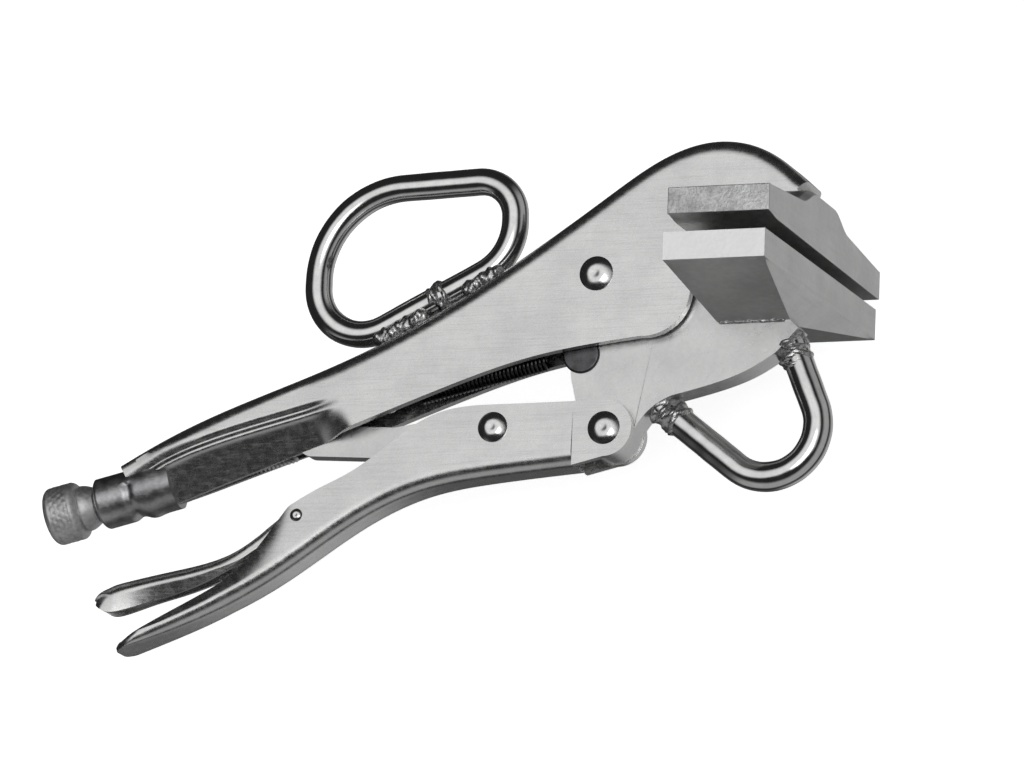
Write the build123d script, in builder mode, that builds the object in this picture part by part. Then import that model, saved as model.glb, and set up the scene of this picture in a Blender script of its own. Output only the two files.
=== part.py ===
"""Locking pliers with wide clamping bars, a pull ring and a pull bail.

The tool lies on its side: +X points out of the jaw mouth, +Y from the lower jaw to the upper jaw,
and +Z along the pivots. The origin is under the middle of the tool, on the surface it lies on.
Outline points are in millimetres from the jaw pivot, and heights from the middle of the tool.
"""

import os
from math import cos, radians, sin

from build123d import *

os.makedirs("parts", exist_ok=True)

# Where the jaw pivot stands in the tool's frame
pivot_x = 50.78
pivot_y = 33.98

# Clamping bars
bar_length = 108.0
bar_rear = 36.0
bar_depth = 30.5
upper_bar_bottom = 6.8
upper_bar_height = 7.7
lower_bar_top = 1.2
lower_bar_height = 9.2
haunch_drop = 7.0
haunch_rear_inset = 1.0
haunch_front_inset = 7.5
bar_chamfer = 0.8
bar_offset = 1.0
upper_haunch_rise = 5.5
upper_haunch_rear_inset = 10.0
haunch_end = 1.0
haunch_tip = 1.2
middle_z = bar_length / 2

# Pressed handles
upper_width = 18.5
upper_sheet = 3.0
upper_bend = 4.5
crimp_depth = 1.25
crimp_start = -84.0
crimp_ramp = 9.0
crimp_tilt = 20.0
lower_width = 14.8
lower_sheet = 2.5
lower_bend = 4.0

# Pivot rivets
running_clearance = 0.05
jaw_pin_radius = 4.0
jaw_head_radius = 5.1
grip_pin = (3.3, -45.6)
grip_pin_radius = 3.8
grip_head_radius = 4.9
grip_ear_radius = 8.4
jaw_ear_inset = 0.2
link_pin = (-30.8, -44.2)
link_pin_radius = 3.4
link_head_radius = 4.5
lever_pin = (-90.6, -68.3)
lever_pin_radius = 1.4
lever_head_radius = 1.9
rivet_head_height = 1.7
lever_head_height = 0.8

# Lower jaw
side_clearance = 0.15
hub_radius = 11.0
spring_lobe = (-5.6, -22.8)
spring_lobe_radius = 6.4
spring_hole = (-7.6, -21.0)
spring_hole_radius = 1.7

# Toggle link
link_end = (-88.0, -45.3)
link_knee = (-63.0, -46.8)
link_thickness = 6.0
link_boss_radius = 6.4
link_arm_radius = 4.6

# Adjusting screw, along a line that rises towards the toggle link
screw_tilt = 13.5
screw_radius = 4.0
screw_point = 0.8
screw_gap = 1.7
barrel_end = 68.5
barrel_length = 24.0
barrel_radius = 7.9
barrel_flat = 6.3
knob_gap = 1.2
collar_radius = 6.2
collar_length = 4.8
knob_radius = 8.7
knob_length = 10.2
knob_round = 2.2

# Release lever
lever_gap = 0.4
lever_sheet = 2.0
lever_bend = 1.8
lever_ear_radius = 4.0

# Pull ring and bail, bent from round rod
ring_rod_radius = 3.85
ring_lift = ring_rod_radius - 3.85  # a thicker rod's lower run lies further off the handle's back
ring_corners = [
    (-91.0 - 0.455 * ring_lift, -24.0 + 0.89 * ring_lift),
    (-28.4 - 0.455 * ring_lift, 8.0 + 0.89 * ring_lift),
    (-28.4, 33.6),
    (-91.0, 31.6),
]
ring_bends = [15.8, 15.5, 10.4, 23.5]
bail_rod_radius = 4.4
bail_corners = [(18.5, -38.5), (46.0, -60.6), (72.7, -59.0), (57.6, -21.6)]
bail_bends = [15.0, 15.0]

# Tension spring
spring_anchor = (-66.0, -34.0)
spring_coil_radius = 3.3
spring_wire = 1.1
leg_length = 10.0
lug_thickness = 2.4
lug_radius = 3.0
lug_height = 17.0
leg_clearance = 0.1

# Weld beads
bar_bead_radius = 1.5
bail_bead_radius = 5.6
ring_bead_radius = 2.6
ring_bead_height = 3.0
butt_place = 0.628
butt_rise = 0.8
butt_width = 4.2

upper_bar_top = upper_bar_bottom + upper_bar_height
lower_bar_bottom = lower_bar_top - lower_bar_height
haunch_bottom = lower_bar_bottom - haunch_drop
bar_front = bar_rear + bar_depth
lower_bar_rear = bar_rear - bar_offset
haunch_rear = lower_bar_rear + haunch_rear_inset
haunch_front = lower_bar_rear + bar_depth - haunch_front_inset
jaw_thickness = lower_width - 2 * lower_sheet - 2 * side_clearance
upper_pocket = upper_width - 2 * upper_sheet
crimped_pocket = upper_pocket - 2 * crimp_depth
lower_pocket = lower_width - 2 * lower_sheet
hub_thickness = upper_pocket - 2 * side_clearance
lever_width = lower_pocket - 2 * lever_gap
reach = 400.0

# The back of each handle, from its free end to its front
upper_back = [
    (-147.0, -51.0),
    (-136.0, -45.0),
    (-122.8, -38.8),
    (-86.5, -25.6),
    (-47.4, -7.7),
    (3.5, 25.1),
    (21.4, 35.8),
    (33.5, 38.8),
    (49.0, 35.8),
    (bar_front - 3.7, upper_bar_top + 10.8),
]
lower_back = [
    (-146.4, -106.8),
    (-124.2, -99.3),
    (-97.1, -86.1),
    (-70.2, -69.0),
    (-52.1, -61.7),
    (-33.8, -58.7),
    (-6.3, -56.3),
]
lever_back = [
    (-154.6, -90.6),
    (-145.5, -85.6),
    (-127.0, -81.8),
    (-110.0, -77.2),
    (-97.0, -68.0),
    (-84.0, -60.5),
    (-72.0, -56.8),
]

lever_edge = [
    (-153.6, -93.6),
    (-140.0, -92.0),
    (-126.4, -88.8),
    (-112.0, -82.6),
    (-99.0, -75.0),
    (-91.0, -72.6),
]
lower_edge_rear = [
    (-145.4, -104.6),
    (-133.0, -97.6),
    (-121.5, -91.6),
    (-110.0, -84.5),
    (-100.0, -74.0),
    (-93.2, -65.6),
]
lower_edge_front = [
    (-93.2, -65.6),
    (-84.6, -60.8),
    (-75.6, -56.6),
    (-63.5, -48.6),
    (-54.7, -42.4),
    (-47.2, -39.1),
    (-28.8, -37.4),
    (grip_pin[0], grip_pin[1] + grip_ear_radius),
]


def across(height=0.0):
    """Plane square to the pivots, at a height from the middle, with the jaw pivot as its origin."""
    return Plane(origin=(pivot_x, pivot_y, middle_z + height), z_dir=(0, 0, 1))


def point_in_frame(point, height=0.0):
    """An outline point as a place in the tool's frame."""
    flat = Vector(*point)
    return Vector(pivot_x + flat.X, pivot_y + flat.Y, middle_z + height)


def inset_points(points, depth):
    """Points along the curve through the given points, each moved to its right by a depth."""
    curve = Spline(*points, mode=Mode.PRIVATE)
    moved = []
    for step in range(13):
        place = curve @ (step / 12)
        heading = curve % (step / 12)
        moved.append((place.X + heading.Y * depth, place.Y - heading.X * depth))
    return moved


def rivet(place, pin_radius, head_radius, head_height, grip):
    """A pin across the tool with a domed head at each end."""
    with BuildPart() as piece:
        with BuildSketch(across(-grip / 2)):
            with Locations(place):
                Circle(pin_radius)
        extrude(amount=grip)
        for side in (-1, 1):
            with BuildSketch(across(side * grip / 2)):
                with Locations(place):
                    Circle(head_radius)
            extrude(amount=side * head_height)
        rims = piece.edges().group_by(Axis.Z)[0] + piece.edges().group_by(Axis.Z)[-1]
        fillet(rims, 0.75 * head_height)
    return piece.part


def bead(start, finish, radius, welded, heights=(0.0, 0.0)):
    """A straight weld bead between two outline points, cut back from the pieces it joins."""
    first = point_in_frame(start, heights[0])
    last = point_in_frame(finish, heights[1])
    with BuildPart() as piece:
        with BuildSketch(Plane(origin=first, z_dir=last - first)):
            Circle(radius)
        extrude(amount=(last - first).length)
        for place in (first, last):
            with Locations(place):
                Sphere(radius)
        for joined in welded:
            add(joined, mode=Mode.SUBTRACT)
    return piece.part


screw_back = Vector(-cos(radians(screw_tilt)), -sin(radians(screw_tilt)), 0)
screw_plane = Plane(origin=point_in_frame(link_end), x_dir=(0, 0, 1), z_dir=screw_back)
tip_distance = link_arm_radius + screw_gap
collar_start = barrel_end + knob_gap
knob_start = collar_start + collar_length

# Upper handle: a pressed channel, crimped towards a threaded barrel at its free end
with BuildPart() as upper_handle:
    with BuildSketch(across(-upper_width / 2)):
        with BuildLine():
            Spline(*upper_back)
            Polyline(
                upper_back[-1],
                (bar_front - 1.0, upper_bar_top),
                (bar_rear, upper_bar_top),
                (bar_rear, upper_bar_bottom + 1.8),
                (30.5, 2.0),
                (28.7, -7.5),
            )
            ThreePointArc((28.7, -7.5), (24.6, -15.4), (14.0, -19.2))
            Spline((14.0, -19.2), (-19.5, -24.2), (-46.8, -32.6), (-79.4, -44.6))
            Polyline((-79.4, -44.6), (-137.0, -64.6), upper_back[0])
        make_face()
    extrude(amount=upper_width)
    fillet(upper_handle.edges().sort_by(SortBy.LENGTH)[-2:], upper_bend)
    for pocket_width, pocket_start in ((crimped_pocket, -reach), (upper_pocket, crimp_start)):
        with BuildSketch(across(-pocket_width / 2)):
            with BuildLine():
                inner_back = Spline(*inset_points(upper_back, upper_sheet))
                Polyline(
                    inner_back @ 1,
                    (bar_front + 20, (inner_back @ 1).Y),
                    (bar_front + 20, -100),
                    (-170, -100),
                    inner_back @ 0,
                )
            make_face()
            with Locations((pocket_start, 0)):
                Rectangle(2 * reach, 2 * reach, align=(Align.MIN, Align.CENTER), mode=Mode.INTERSECT)
        extrude(amount=pocket_width, mode=Mode.SUBTRACT)
    along = Vector(cos(radians(crimp_tilt)), sin(radians(crimp_tilt)), 0)
    crimp_plane = Plane(
        origin=point_in_frame((crimp_start, -35.0)), x_dir=along, z_dir=along.cross(Vector(0, 0, 1))
    )
    with BuildSketch(crimp_plane):
        with BuildLine():
            Polyline(
                (0, upper_width / 2),
                (-crimp_ramp, upper_width / 2 - crimp_depth),
                (-80, upper_width / 2 - crimp_depth),
                (-80, upper_width),
                (0, upper_width),
                close=True,
            )
        make_face()
        mirror(about=Plane.XZ)
    extrude(amount=60, both=True, mode=Mode.SUBTRACT)
    with BuildSketch(screw_plane.offset(barrel_end - barrel_length)):
        Circle(barrel_radius)
        with Locations((0, barrel_flat)):
            Rectangle(
                4 * barrel_radius,
                2 * barrel_radius,
                align=(Align.CENTER, Align.MIN),
                mode=Mode.SUBTRACT,
            )
    extrude(amount=barrel_length)
    with BuildSketch(screw_plane):
        Circle(screw_radius + running_clearance)
    extrude(amount=barrel_end, mode=Mode.SUBTRACT)
    with BuildSketch(across(-lug_thickness / 2)):
        with Locations(spring_anchor):
            Rectangle(2 * lug_radius, lug_height, align=(Align.CENTER, Align.MIN))
            Circle(lug_radius)
            Circle(spring_hole_radius, mode=Mode.SUBTRACT)
    extrude(amount=lug_thickness)
    with BuildSketch(across(-upper_width / 2)):
        Circle(jaw_pin_radius)
    extrude(amount=upper_width, mode=Mode.SUBTRACT)
upper_handle.part.label = "upper_handle"

# Upper jaw bar: a flat bar with a haunch on each side that rises towards the handle's wall
with BuildPart() as upper_jaw_bar:
    with BuildSketch(across(-bar_length / 2)):
        with Locations((bar_rear, upper_bar_bottom)):
            Rectangle(bar_depth, upper_bar_height, align=(Align.MIN, Align.MIN))
    extrude(amount=bar_length)
    chamfer(upper_jaw_bar.edges().filter_by(Axis.Z).sort_by(Axis.Y)[:2], bar_chamfer)
    for side in (-1, 1):
        for height, rise in (
            (side * (bar_length / 2 - haunch_end), haunch_tip),
            (side * upper_width / 2, upper_haunch_rise + haunch_end),
        ):
            with BuildSketch(across(height)):
                with Locations((bar_front, upper_bar_top - haunch_end)):
                    Rectangle(bar_depth - upper_haunch_rear_inset, rise, align=(Align.MAX, Align.MIN))
        loft()
upper_jaw_bar.part.label = "upper_jaw_bar"

# Lower jaw bar: a flat bar with a haunch below it that deepens towards the jaw plate
haunch_corner = (haunch_rear, lower_bar_bottom + haunch_end)
haunch_size = (haunch_front - haunch_rear, haunch_drop + haunch_end)
with BuildPart() as lower_jaw_bar:
    with BuildSketch(across(-bar_length / 2)):
        with Locations((lower_bar_rear, lower_bar_bottom)):
            Rectangle(bar_depth, lower_bar_height, align=(Align.MIN, Align.MIN))
    extrude(amount=bar_length)
    chamfer(lower_jaw_bar.edges().filter_by(Axis.Z).sort_by(Axis.Y)[-2:], bar_chamfer)
    for side in (-1, 1):
        with BuildSketch(across(side * (bar_length / 2 - haunch_end))):
            with Locations((lower_bar_rear, lower_bar_bottom + haunch_end)):
                Rectangle(bar_depth - haunch_end / 2, haunch_tip, align=(Align.MIN, Align.MAX))
        with BuildSketch(across(side * jaw_thickness / 2)):
            with Locations(haunch_corner):
                Rectangle(*haunch_size, align=(Align.MIN, Align.MAX))
        loft()
    with BuildSketch(across(-jaw_thickness / 2)):
        with Locations(haunch_corner):
            Rectangle(*haunch_size, align=(Align.MIN, Align.MAX))
    extrude(amount=jaw_thickness)
lower_jaw_bar.part.label = "lower_jaw_bar"

# Lower jaw: a flat plate with a thicker hub between the walls of the upper handle
with BuildPart() as lower_jaw:
    with BuildSketch(across(-jaw_thickness / 2)):
        with BuildLine():
            Polyline(
                (0, hub_radius),
                (8.0, 7.5),
                (20.0, -2.0),
                (lower_bar_rear, lower_bar_bottom),
                (haunch_rear, lower_bar_bottom),
                (haunch_rear, haunch_bottom),
                (haunch_front, haunch_bottom),
                (60.5, -17.5),
                (54.0, -24.5),
            )
            Spline((54.0, -24.5), (46.6, -28.9), (34.5, -33.3), (22.9, -36.1))
            ThreePointArc((22.9, -36.1), (16.8, -39.4), (11.3, -46.5))
            Line((11.3, -46.5), grip_pin)
            Line(grip_pin, (-4.9, -44.2))
            Line((-4.9, -44.2), (-8.5, -32.0))
            Line((-8.5, -32.0), spring_lobe)
            Line(spring_lobe, (-hub_radius, 0))
            Line((-hub_radius, 0), (0, hub_radius))
        make_face()
        Circle(hub_radius)
        with Locations(grip_pin):
            Circle(grip_ear_radius - jaw_ear_inset)
        with Locations(spring_lobe):
            Circle(spring_lobe_radius)
    extrude(amount=jaw_thickness)
    with BuildSketch(across(-hub_thickness / 2)):
        Circle(hub_radius)
    extrude(amount=hub_thickness)
    with BuildSketch(across(-upper_width / 2)):
        Circle(jaw_pin_radius + running_clearance)
        with Locations(grip_pin):
            Circle(grip_pin_radius + running_clearance)
        with Locations(spring_hole):
            Circle(spring_hole_radius)
    extrude(amount=upper_width, mode=Mode.SUBTRACT)
lower_jaw.part.label = "lower_jaw"

# Lower handle: a pressed channel that runs out to a shallow lip at its free end
with BuildPart() as lower_handle:
    with BuildSketch(across(-lower_width / 2)):
        with BuildLine():
            Spline(*lower_back)
            Polyline(lower_back[-1], (14.0, -56.3), (14.0, -30.0), (-165.0, -30.0), lower_back[0])
        make_face()
    extrude(amount=lower_width)
    fillet(
        lower_handle.edges().filter_by(GeomType.BSPLINE).sort_by(SortBy.LENGTH)[-2:], lower_bend
    )
    with BuildSketch(across(-lower_width / 2)):
        with BuildLine():
            Spline(*lower_edge_rear)
            Spline(*lower_edge_front)
            ThreePointArc(
                (grip_pin[0], grip_pin[1] + grip_ear_radius),
                (grip_pin[0] + grip_ear_radius, grip_pin[1]),
                (grip_pin[0], grip_pin[1] - grip_ear_radius),
            )
            Polyline(
                (grip_pin[0], grip_pin[1] - grip_ear_radius),
                (-6.3, -56.3),
                (-33.8, -66.0),
                (-70.2, -80.0),
                (-110.0, -112.0),
                (-155.0, -112.0),
                lower_edge_rear[0],
            )
        make_face()
    extrude(amount=lower_width, mode=Mode.INTERSECT)
    with BuildSketch(across(-lower_pocket / 2)):
        with BuildLine():
            inner_grip = Spline(*inset_points(lower_back, -lower_sheet))
            Polyline(
                inner_grip @ 1,
                (lower_back[-1][0] + 0.4, -62.0),
                (20.0, -62.0),
                (20.0, -20.0),
                (-165.0, -20.0),
                inner_grip @ 0,
            )
        make_face()
    extrude(amount=lower_pocket, mode=Mode.SUBTRACT)
    with BuildSketch(across(-lower_width / 2)):
        for place, radius in (
            (grip_pin, grip_pin_radius),
            (link_pin, link_pin_radius),
            (lever_pin, lever_pin_radius),
        ):
            with Locations(place):
                Circle(radius)
    extrude(amount=lower_width, mode=Mode.SUBTRACT)
lower_handle.part.label = "lower_handle"

# Toggle link: a flat bar from the link rivet to the tip of the adjusting screw
with BuildPart() as toggle_link:
    for end, radius in ((link_pin, link_boss_radius), (link_end, link_arm_radius)):
        with BuildSketch(across(-link_thickness / 2)) as arm:
            with Locations(end):
                Circle(radius)
            with Locations(link_knee):
                Circle(link_arm_radius)
            make_hull()
        extrude(amount=link_thickness)
    with BuildSketch(across(-link_thickness / 2)):
        with Locations(link_pin):
            Circle(link_pin_radius + running_clearance)
    extrude(amount=link_thickness, mode=Mode.SUBTRACT)
toggle_link.part.label = "toggle_link"

# Release lever: a small channel inside the lower handle, with its tail outside
with BuildPart() as release_lever:
    with BuildSketch(across(-lever_width / 2)):
        with BuildLine():
            Spline(*lever_back)
            Polyline(lever_back[-1], (-72.0, -110.0), (-160.0, -110.0), lever_back[0])
        make_face()
    extrude(amount=lever_width)
    fillet(
        release_lever.edges().filter_by(GeomType.BSPLINE).sort_by(SortBy.LENGTH)[-2:], lever_bend
    )
    with BuildSketch(across(-lever_width / 2)):
        with BuildLine():
            Line(lever_back[0], lever_edge[0])
            Spline(*lever_edge)
            Polyline(
                lever_edge[-1],
                (-84.0, -69.0),
                (-72.0, -60.0),
                (-72.0, -50.0),
                (-160.0, -50.0),
                lever_back[0],
            )
        make_face()
    extrude(amount=lever_width, mode=Mode.INTERSECT)
    with BuildSketch(across(-lever_width / 2 + lever_sheet)):
        with BuildLine():
            inner_lever = Spline(*inset_points(lever_back, lever_sheet))
            Polyline(inner_lever @ 1, (-72.0, -110.0), (-160.0, -110.0), inner_lever @ 0)
        make_face()
    extrude(amount=lever_width - 2 * lever_sheet, mode=Mode.SUBTRACT)
    with BuildSketch(across(-lever_width / 2)):
        with Locations(lever_pin):
            Circle(lever_pin_radius + running_clearance)
    extrude(amount=lever_width, mode=Mode.SUBTRACT)
release_lever.part.label = "release_lever"

# Adjusting screw and its knob
with BuildPart() as adjusting_screw:
    with BuildSketch(screw_plane.offset(tip_distance)):
        Circle(screw_radius)
    extrude(amount=knob_start - tip_distance)
    chamfer(adjusting_screw.edges().filter_by(GeomType.CIRCLE).sort_by(Axis.X)[-1:], screw_point)
adjusting_screw.part.label = "adjusting_screw"

with BuildPart() as screw_knob:
    with BuildSketch(screw_plane.offset(collar_start)):
        Circle(collar_radius)
        Circle(screw_radius, mode=Mode.SUBTRACT)
    extrude(amount=collar_length)
    with BuildSketch(screw_plane.offset(knob_start)):
        Circle(knob_radius)
    extrude(amount=knob_length)
    fillet(screw_knob.edges().filter_by(GeomType.CIRCLE).sort_by(SortBy.RADIUS)[-2:], knob_round)
screw_knob.part.label = "screw_knob"

# Pull ring, welded by its straight side to the back of the upper handle
with BuildPart() as pull_ring:
    with BuildLine(across()) as ring_path:
        FilletPolyline(*ring_corners, radius=ring_bends, close=True)
    with BuildSketch(Plane(origin=ring_path.line @ 0, z_dir=ring_path.line % 0)):
        Circle(ring_rod_radius)
    sweep()
pull_ring.part.label = "pull_ring"

# Pull bail, butted against the edge of the lower jaw
with BuildPart() as jaw_bail:
    with BuildLine(across()) as bail_path:
        FilletPolyline(*bail_corners, radius=bail_bends)
    with BuildSketch(Plane(origin=bail_path.line @ 0, z_dir=bail_path.line % 0)):
        Circle(bail_rod_radius)
    sweep()
    add(lower_jaw.part, mode=Mode.SUBTRACT)
jaw_bail.part.label = "jaw_bail"

# Tension spring: a solid the size of its close-wound coil, with a cranked leg at each end
spring_line = Line(spring_hole, spring_anchor)
wire = spring_wire / 2
jaw_leg_height = jaw_thickness / 2 + wire + leg_clearance
lug_leg_height = lug_thickness / 2 + wire + leg_clearance
coil_height = spring_coil_radius - wire
with BuildPart() as spring:
    coil_start = spring_line @ (leg_length / spring_line.length)
    coil_end = spring_line @ (1 - leg_length / spring_line.length)
    crank = spring_line @ (leg_length / 2 / spring_line.length)
    coil_plane = Plane(origin=point_in_frame(coil_start), x_dir=(0, 0, 1), z_dir=coil_end - coil_start)
    with BuildSketch(coil_plane):
        Circle(spring_coil_radius)
    extrude(amount=(coil_end - coil_start).length)
    add(bead(coil_start, crank, wire, (), (coil_height, jaw_leg_height)))
    add(bead(crank, spring_hole, wire, (), (jaw_leg_height, jaw_leg_height)))
    add(bead(spring_hole, spring_hole, wire, (), (jaw_leg_height, -jaw_leg_height)))
    add(bead(coil_end, spring_anchor, wire, (), (lug_leg_height, lug_leg_height)))
    add(bead(spring_anchor, spring_anchor, wire, (), (lug_leg_height, -lug_leg_height)))
spring.part.label = "spring"

jaw_pivot_rivet = rivet((0, 0), jaw_pin_radius, jaw_head_radius, rivet_head_height, upper_width)
jaw_pivot_rivet.label = "jaw_pivot_rivet"
handle_rivet = rivet(grip_pin, grip_pin_radius, grip_head_radius, rivet_head_height, lower_width)
handle_rivet.label = "handle_rivet"
link_rivet = rivet(link_pin, link_pin_radius, link_head_radius, rivet_head_height, lower_width)
link_rivet.label = "link_rivet"
lever_rivet = rivet(lever_pin, lever_pin_radius, lever_head_radius, lever_head_height, lower_width)
lever_rivet.label = "lever_rivet"


upper_pieces = [upper_handle.part, upper_jaw_bar.part]
lower_pieces = [lower_jaw.part, lower_jaw_bar.part]
wall = upper_width / 2
plate_side = jaw_thickness / 2
upper_bead_ends = [
    (bar_front - bar_depth + upper_haunch_rear_inset + 2.0, upper_bar_top + upper_haunch_rise),
    (bar_front - 5.0, upper_bar_top + upper_haunch_rise),
]
lower_bead_ends = [(haunch_rear + 1.0, haunch_bottom), (haunch_front - 2.0, haunch_bottom)]
upper_beads = [
    bead(*upper_bead_ends, bar_bead_radius, upper_pieces, (wall * side, wall * side)) for side in (-1, 1)
]
lower_beads = [
    bead(*lower_bead_ends, bar_bead_radius, lower_pieces, (plate_side * side, plate_side * side))
    for side in (-1, 1)
]
bail_beads = [
    bead(start, finish, bail_bead_radius, [*lower_pieces, jaw_bail.part])
    for start, finish in (((18.6, -38.6), (22.6, -41.6)), ((56.6, -19.6), (58.6, -24.2)))
]
ring_beads = [
    bead(
        start,
        finish,
        ring_bead_radius,
        [upper_handle.part, pull_ring.part],
        (side * ring_bead_height, side * ring_bead_height),
    )
    for start, finish in (((-68.0, -15.4), (-56.0, -9.3)), ((-41.0, -1.4), (-33.0, 3.1)))
    for side in (-1, 1)
]
ring_side = Line(ring_corners[0], ring_corners[1])
with BuildPart() as ring_butt_weld:
    with BuildSketch(Plane(origin=point_in_frame(ring_side @ butt_place), z_dir=ring_side % 0)):
        Circle(ring_rod_radius + butt_rise)
        Circle(ring_rod_radius, mode=Mode.SUBTRACT)
    extrude(amount=butt_width / 2, both=True)
    chamfer(ring_butt_weld.edges().filter_by(GeomType.CIRCLE).sort_by(SortBy.RADIUS)[-2:], 0.6 * butt_rise)

welds = {
    "upper_jaw_welds": upper_beads,
    "lower_jaw_welds": lower_beads,
    "bail_welds": bail_beads,
    "pull_ring_welds": ring_beads,
    "ring_butt_weld": [ring_butt_weld.part],
}
for name, beads in welds.items():
    group = Compound(children=[solid for piece in beads for solid in piece.solids()])
    group.label = name
    export_step(group, f"parts/{name}.step")

for piece in (
    upper_handle.part,
    upper_jaw_bar.part,
    lower_jaw.part,
    lower_jaw_bar.part,
    lower_handle.part,
    toggle_link.part,
    release_lever.part,
    adjusting_screw.part,
    screw_knob.part,
    pull_ring.part,
    jaw_bail.part,
    spring.part,
    jaw_pivot_rivet,
    handle_rivet,
    link_rivet,
    lever_rivet,
):
    export_step(piece, f"parts/{piece.label}.step")
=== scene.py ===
"""Locking pliers with wide clamping bars: the finished surfaces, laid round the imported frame.

Outline points are in millimetres from the jaw pivot, and heights from the middle of the tool.
Meshes are in metres, in the frame's own axes, with every object at the origin.
"""

import math

import bmesh
import bpy
import numpy as np
from mathutils import Matrix, Vector


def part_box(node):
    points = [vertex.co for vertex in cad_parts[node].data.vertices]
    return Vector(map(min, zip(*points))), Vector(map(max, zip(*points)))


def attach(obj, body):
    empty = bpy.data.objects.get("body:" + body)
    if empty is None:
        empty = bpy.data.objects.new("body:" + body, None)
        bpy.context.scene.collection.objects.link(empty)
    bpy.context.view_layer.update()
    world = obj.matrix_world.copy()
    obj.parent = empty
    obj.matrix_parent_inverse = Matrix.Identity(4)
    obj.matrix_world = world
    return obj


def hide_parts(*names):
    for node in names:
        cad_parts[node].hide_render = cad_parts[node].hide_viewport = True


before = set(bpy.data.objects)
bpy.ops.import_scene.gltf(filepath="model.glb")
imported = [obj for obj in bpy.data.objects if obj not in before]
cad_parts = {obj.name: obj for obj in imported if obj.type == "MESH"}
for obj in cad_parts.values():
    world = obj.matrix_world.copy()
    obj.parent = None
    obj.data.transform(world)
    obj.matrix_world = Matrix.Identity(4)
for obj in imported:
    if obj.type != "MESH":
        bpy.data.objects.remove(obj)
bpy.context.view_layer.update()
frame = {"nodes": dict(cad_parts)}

bl_info = {
    "name": "Locking pliers",
    "version": (1, 0, 0),
    "blender": (4, 5, 0),
    "location": "3D View > Sidebar > Pliers",
    "description": "Builds the pressed handles, jaws, rods, rivets and welds of a pair of locking pliers",
    "category": "Object",
}

MM = 0.001
pin_low, pin_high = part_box("jaw_pivot_rivet")
PIVOT = np.array((pin_low + pin_high) / 2)
bar_low, bar_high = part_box("upper_jaw_bar")
lower_bar_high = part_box("lower_jaw_bar")[1]

# Clamping bars, from the frame
BAR_HALF = (bar_high.z - bar_low.z) / 2 / MM
BAR_REAR = (bar_low.x - PIVOT[0]) / MM
BAR_FRONT = (bar_high.x - PIVOT[0]) / MM
UPPER_BAR_BOTTOM = (bar_low.y - PIVOT[1]) / MM
UPPER_BAR_HEIGHT = 7.7
UPPER_BAR_TOP = UPPER_BAR_BOTTOM + UPPER_BAR_HEIGHT
LOWER_BAR_TOP = (lower_bar_high.y - PIVOT[1]) / MM
LOWER_BAR_HEIGHT = 9.2
LOWER_BAR_BOTTOM = LOWER_BAR_TOP - LOWER_BAR_HEIGHT
LOWER_BAR_REAR = BAR_REAR - 1.0
LOWER_BAR_FRONT = BAR_FRONT - 1.0
HAUNCH_DROP = 7.0
HAUNCH_REAR = LOWER_BAR_REAR + 1.0
HAUNCH_FRONT = LOWER_BAR_FRONT - 7.5
HAUNCH_BOTTOM = LOWER_BAR_BOTTOM - HAUNCH_DROP
UPPER_HAUNCH_RISE, UPPER_HAUNCH_REAR = 5.5, BAR_REAR + 10.0
HAUNCH_END = 1.0
HAUNCH_FRONT_FALL, HAUNCH_FRONT_RUN = 1.6, 2.5
HEAD_SWELL, HEAD_SWELL_START = 3.6, 0.72

# How far the upper bar's top and gripping face lie below the frame's bar, and how much more at the far end.
# The gripping face lies lower still by the bevel, which runs out at the near end
TOP_SAG, TOP_SAG_FAR = 1.2, 0.8
FACE_SAG, FACE_SAG_FAR = 1.3, 0.5
NEAR_BEVEL, NEAR_BEVEL_RUN = 0.9, 9.0

# Pressed handles
UPPER_WIDTH, UPPER_SHEET, UPPER_BEND = 18.5, 3.0, 4.5
LOWER_WIDTH, LOWER_SHEET, LOWER_BEND = 14.8, 2.5, 4.0
LEVER_WIDTH, LEVER_SHEET, LEVER_BEND = 9.0, 2.0, 1.8
CRIMP_START, CRIMP_RAMP, CRIMP_REAR = -84.0, 10.0, -136.0
CRIMP_LINE_REAR, CRIMP_LINE_START = 4.6, 9.4  # how deep the step lies at both ends of the crimp
CRIMP_STEP, CRIMP_RIDGE, CRIMP_LEAN, CRIMP_LEAN_LIMIT = 1.1, 0.55, 0.55, 6.6
REAR_CLOSES, REAR_CLOSING = -126.0, 1.8
PRESSED_SHEET = 1.2  # sheet thickness that is left where a wall is pressed in
JAW_HALF = 4.75
HUB_RADIUS, HUB_HALF = 11.0, 6.1
LOBE_HALF = 5.6
GRIP_PIN = np.array((3.3, -45.6))
GRIP_EAR = 8.4
LINK_PIN = np.array((-30.8, -44.2))
LEVER_PIN = np.array((-90.6, -68.3))
SPRING_LOBE, SPRING_LOBE_RADIUS = np.array((-5.2, -23.0)), 5.6
SPRING_HOLE = np.array((-7.6, -21.0))
SPRING_ANCHOR = np.array((-66.0, -34.0))
LINK_END, LINK_KNEE = np.array((-88.0, -45.3)), np.array((-63.0, -46.8))

UPPER_BACK = [
    (-147.0, -51.0), (-136.0, -45.0), (-122.8, -38.8), (-86.5, -25.6), (-47.4, -7.7), (3.5, 25.1),
    (21.4, 35.8), (33.5, 38.8), (49.0, 35.8), (BAR_FRONT - 3.7, UPPER_BAR_TOP + 10.8),
]
UPPER_EDGE = [(14.0, -19.2), (-19.5, -24.2), (-46.8, -32.6), (-79.4, -44.6)]
UPPER_REAR, UPPER_CHEEK, UPPER_HEEL, UPPER_THROAT = (-137.0, -64.6), (24.6, -15.4), (28.7, -7.5), (30.5, 2.0)
UPPER_NOTCH = (BAR_REAR, UPPER_BAR_BOTTOM + 1.8)
UPPER_CORNER = (BAR_REAR, UPPER_BAR_TOP)

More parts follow.
